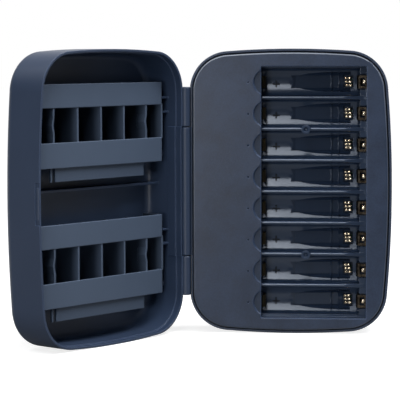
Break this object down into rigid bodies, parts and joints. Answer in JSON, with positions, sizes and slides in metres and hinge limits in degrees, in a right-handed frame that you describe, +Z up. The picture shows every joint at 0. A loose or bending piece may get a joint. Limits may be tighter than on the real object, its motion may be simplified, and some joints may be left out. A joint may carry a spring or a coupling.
{
  "type": "battery storage and charging case",
  "caption": "Hinged book-like case: a slim base with charging bays for cells and a deep cover holding two tilting racks for spare cells.",
  "frame": {"origin": "centre of the footprint of the open case standing on its rounded lower end, at the lowest point", "axes": "+Z up along the hinge; +X from the hinge to the free side of the base; +Y from the charging face to the flat back of the base"},
  "size_m": [0.195, 0.1156, 0.154],
  "materials": {
    "shell_plastic": "fine spark-textured moulded plastic, navy",
    "face_plastic": "fine spark-textured moulded plastic, navy",
    "rack_plastic": "satin moulded plastic, navy",
    "tray_plastic": "polished moulded plastic, navy",
    "spring_nickel": "nickel-plated spring strip",
    "contact_brass": "dark lacquered brass strip",
    "pin_steel": "ground steel",
    "screw_steel": "zinc-plated steel",
    "socket_steel": "drawn steel sleeve",
    "board_green": "solder-masked glass-fibre board",
    "lamp_body": "moulded lamp body",
    "pipe_clear": "clear moulded plastic",
    "coil_ferrite": "ferrite",
    "can_aluminium": "drawn can",
    "chip_black": "moulded epoxy",
    "foot_rubber": "soft rubber"
  },
  "bodies": {
    "charger_base": {"base_shell": "shell_plastic", "charger_panel": "face_plastic", "bay_tray": "tray_plastic", "circuit_board": "board_green", "lamps": "lamp_body", "light_pipes": "pipe_clear", "power_socket": "socket_steel", "charging_coils": "coil_ferrite", "board_capacitors": "can_aluminium", "control_chips": "chip_black", "case_screws": "screw_steel", "board_screws": "screw_steel", "tray_screws": "screw_steel", "rubber_feet": "foot_rubber", "positive_contact_1": "contact_brass", "small_negative_contact_1": "spring_nickel", "large_negative_contact_1": "spring_nickel", "positive_contact_2": "contact_brass", "small_negative_contact_2": "spring_nickel", "large_negative_contact_2": "spring_nickel", "positive_contact_3": "contact_brass", "small_negative_contact_3": "spring_nickel", "large_negative_contact_3": "spring_nickel", "positive_contact_4": "contact_brass", "small_negative_contact_4": "spring_nickel", "large_negative_contact_4": "spring_nickel", "positive_contact_5": "contact_brass", "small_negative_contact_5": "spring_nickel", "large_negative_contact_5": "spring_nickel", "positive_contact_6": "contact_brass", "small_negative_contact_6": "spring_nickel", "large_negative_contact_6": "spring_nickel", "positive_contact_7": "contact_brass", "small_negative_contact_7": "spring_nickel", "large_negative_contact_7": "spring_nickel", "positive_contact_8": "contact_brass", "small_negative_contact_8": "spring_nickel", "large_negative_contact_8": "spring_nickel"},
    "storage_cover": {"storage_cover": "shell_plastic", "hinge_pin": "pin_steel", "upper_rack_pins": "pin_steel", "lower_rack_pins": "pin_steel"},
    "upper_rack": {"upper_rack": "rack_plastic"},
    "lower_rack": {"lower_rack": "rack_plastic"}
  },
  "joints": [
    {"name": "cover_hinge", "type": "hinge", "parent": "charger_base", "child": "storage_cover", "pos_m": [-0.01372, 0.03259, 0.077], "axis": [0, 0, -1], "range_deg": [-125.5, 54.5]},
    {"name": "upper_rack_tilt", "type": "hinge", "parent": "storage_cover", "child": "upper_rack", "pos_m": [-0.05861, -0.00504, 0.0975], "axis": [0.5807, 0.8141, 0], "range_deg": [0, 8]},
    {"name": "lower_rack_tilt", "type": "hinge", "parent": "storage_cover", "child": "lower_rack", "pos_m": [-0.05861, -0.00504, 0.0259], "axis": [0.5807, 0.8141, 0], "range_deg": [0, 8]}
  ]
}
